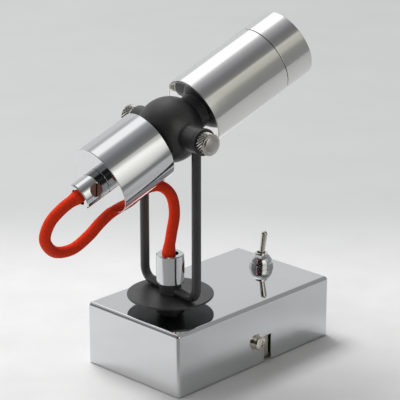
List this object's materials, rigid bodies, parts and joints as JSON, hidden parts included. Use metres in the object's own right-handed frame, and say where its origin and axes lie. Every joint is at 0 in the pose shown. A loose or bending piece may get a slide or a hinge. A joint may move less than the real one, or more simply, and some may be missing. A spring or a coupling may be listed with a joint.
{
  "type": "switched spotlight",
  "caption": "Spotlight head on a ball between two bent rods that turn on a chrome box base with a toggle switch, fed by a free textile cable; the front bezel unscrews.",
  "frame": {"origin": "middle of the base's underside, where the mounting bracket meets the wall or table", "axes": "+Z out of the top of the base, +X along the base from the swivel to the switch, -Y towards the side that the picture shows"},
  "size_m": [0.1561, 0.0698, 0.17],
  "materials": {
    "chrome": "mirror chrome plate",
    "turned_aluminium": "fine-turned, polished",
    "black_coat": "satin black powder coat",
    "nickel": "bright nickel plate",
    "zinc_steel": "zinc plate, passivated",
    "dark_plastic": "moulded",
    "cream_plastic": "moulded",
    "brown_plastic": "moulded, glossy",
    "brass": "bright",
    "rubber": "matt",
    "red_textile": "braided textile sleeve",
    "glass": "clear",
    "mirror": "vacuum metallised",
    "white_board": "solder mask",
    "emitter": "phosphor under clear gel"
  },
  "bodies": {
    "base": {"base_cover": "chrome", "mounting_bracket": "zinc_steel", "entry_grommet": "rubber", "cover_screws": "nickel", "cover_washers": "nickel", "terminal_block": "cream_plastic", "terminal_screws": "brass", "earth_screw": "brass", "earth_tag": "nickel", "switch_case": "dark_plastic", "switch_lugs": "nickel", "switch_bushing": "nickel", "switch_lock_washer": "nickel", "switch_nut": "nickel", "switch_dome_nut": "chrome", "swivel_boss": "black_coat"},
    "lever": {"switch_lever": "nickel"},
    "yoke": {"swivel_stem": "nickel", "swivel_disc": "black_coat", "stem_washer": "nickel", "stem_nut": "nickel", "yoke_hub": "black_coat", "yoke_rod_near": "black_coat", "yoke_rod_far": "black_coat", "yoke_eye_near": "black_coat", "yoke_eye_far": "black_coat", "base_gland": "chrome", "base_clamp_screw": "brown_plastic", "red_cable": "red_textile"},
    "head": {"ball": "black_coat", "front_flange": "turned_aluminium", "front_tube": "turned_aluminium", "heat_sink": "turned_aluminium", "led_board": "white_board", "led_emitter": "emitter", "reflector": "mirror", "rear_flange": "black_coat", "rear_cup": "chrome", "driver": "dark_plastic", "rear_nipple": "nickel", "rear_nipple_nut": "nickel", "rear_gland": "chrome", "rear_clamp_screw": "brown_plastic"},
    "spacer_near": {"spacer_near": "black_coat"},
    "thumbscrew_near": {"thumbscrew_near": "nickel"},
    "spacer_far": {"spacer_far": "nickel"},
    "thumbscrew_far": {"thumbscrew_far": "nickel"},
    "glass": {"glass_seal": "rubber", "front_glass": "glass"},
    "bezel": {"front_bezel": "turned_aluminium"}
  },
  "joints": [
    {"name": "pan", "type": "hinge", "parent": "base", "child": "yoke", "pos_m": [-0.0285, 0, 0.037], "axis": [0, 0, 1], "range_deg": [-165, 165]},
    {"name": "tilt", "type": "hinge", "parent": "yoke", "child": "head", "pos_m": [-0.0285, 0, 0.122], "axis": [-0.1392, -0.9903, 0], "range_deg": [-70, 40], "deforming": ["red_cable"]},
    {"name": "switch_throw", "type": "hinge", "parent": "base", "child": "lever", "pos_m": [0.042, 0.0035, 0.0363], "axis": [0, 1, 0], "range_deg": [-20, 0]},
    {"name": "thumb_near_travel", "type": "slide", "parent": "head", "child": "spacer_near", "axis": [-0.1392, -0.9903, 0], "range_m": [0, 0.0021]},
    {"name": "thumb_near_turn", "type": "hinge", "parent": "spacer_near", "child": "thumbscrew_near", "pos_m": [-0.0285, 0, 0.122], "axis": [-0.1392, -0.9903, 0], "range_deg": [0, 1081]},
    {"name": "thumb_far_travel", "type": "slide", "parent": "head", "child": "spacer_far", "axis": [0.1392, 0.9903, 0], "range_m": [0, 0.0021]},
    {"name": "thumb_far_turn", "type": "hinge", "parent": "spacer_far", "child": "thumbscrew_far", "pos_m": [-0.0285, 0, 0.122], "axis": [0.1392, 0.9903, 0], "range_deg": [0, 1081]},
    {"name": "bezel_travel", "type": "slide", "parent": "head", "child": "glass", "axis": [0.9081, -0.1276, 0.3987], "range_m": [0, 0.005]},
    {"name": "bezel_turn", "type": "hinge", "parent": "glass", "child": "bezel", "pos_m": [-0.0285, 0, 0.122], "axis": [0.9081, -0.1276, 0.3987], "range_deg": [0, 1801]}
  ],
  "couplings": [
    {"joint": "thumb_near_turn", "follows": "thumb_near_travel", "rad_per_m": 8976},
    {"joint": "thumb_far_turn", "follows": "thumb_far_travel", "rad_per_m": 8976},
    {"joint": "bezel_turn", "follows": "bezel_travel", "rad_per_m": 6283.2}
  ]
}
